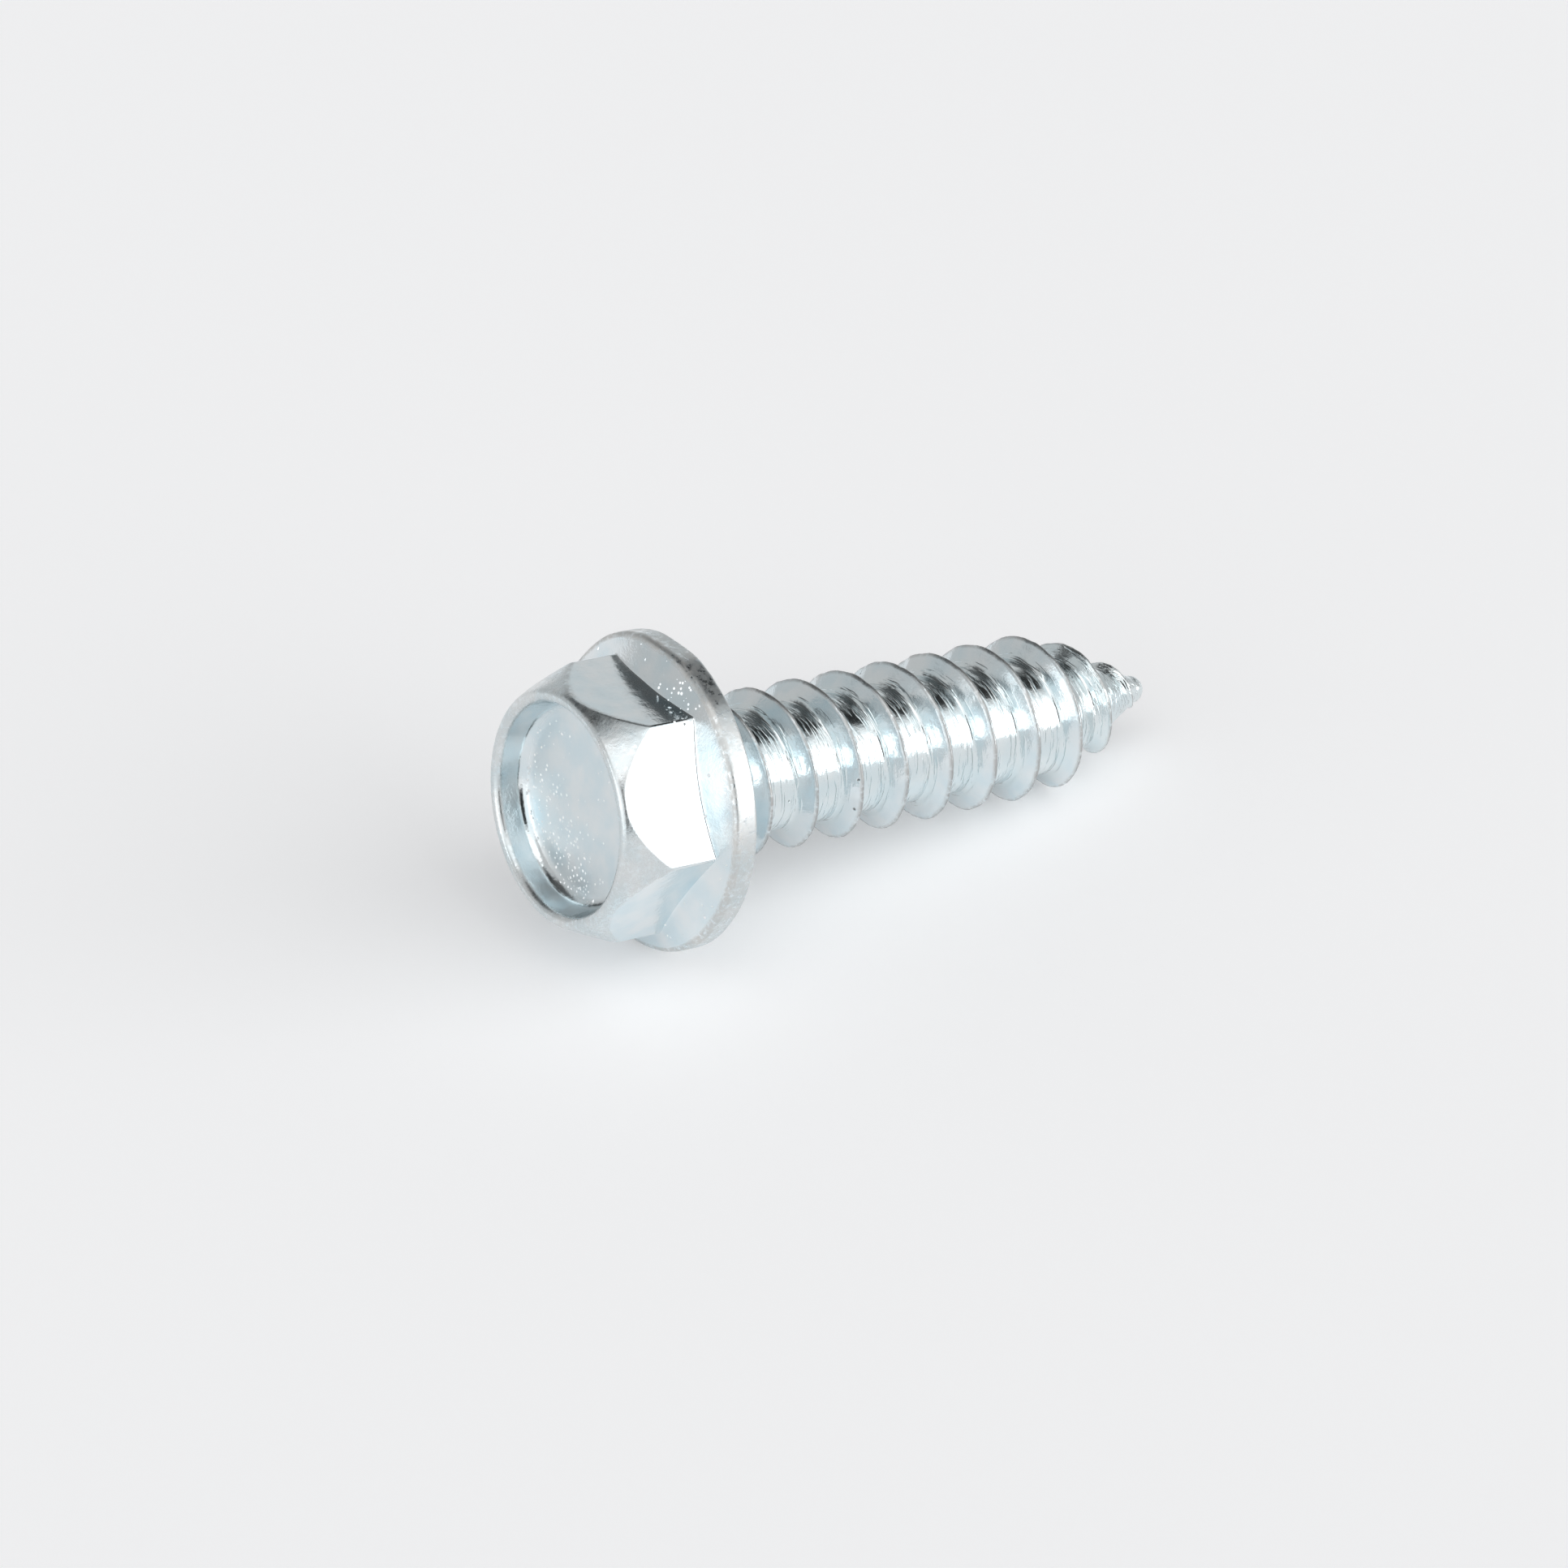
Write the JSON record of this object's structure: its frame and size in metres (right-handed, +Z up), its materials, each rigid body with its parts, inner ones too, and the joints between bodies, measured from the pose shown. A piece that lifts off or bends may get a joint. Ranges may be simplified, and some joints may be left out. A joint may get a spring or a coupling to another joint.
{
  "type": "hex washer head tapping screw",
  "caption": "Self-tapping sheet-metal screw with an indented hex head, a washer flange in one piece with it, a coarse right-hand thread and a gimlet point, zinc plated.",
  "frame": {"origin": "middle of the lying screw in plan, on the ground", "axes": "+X along the screw from head to point, seen in plan; +Z up, away from the ground; one flat of the hexagon faces up"},
  "size_m": [0.0242, 0.0104, 0.0104],
  "materials": {
    "zinc_plate": "bright zinc plate with a faint blue cast"
  },
  "bodies": {
    "root": {"screw": "zinc_plate"}
  },
  "joints": []
}
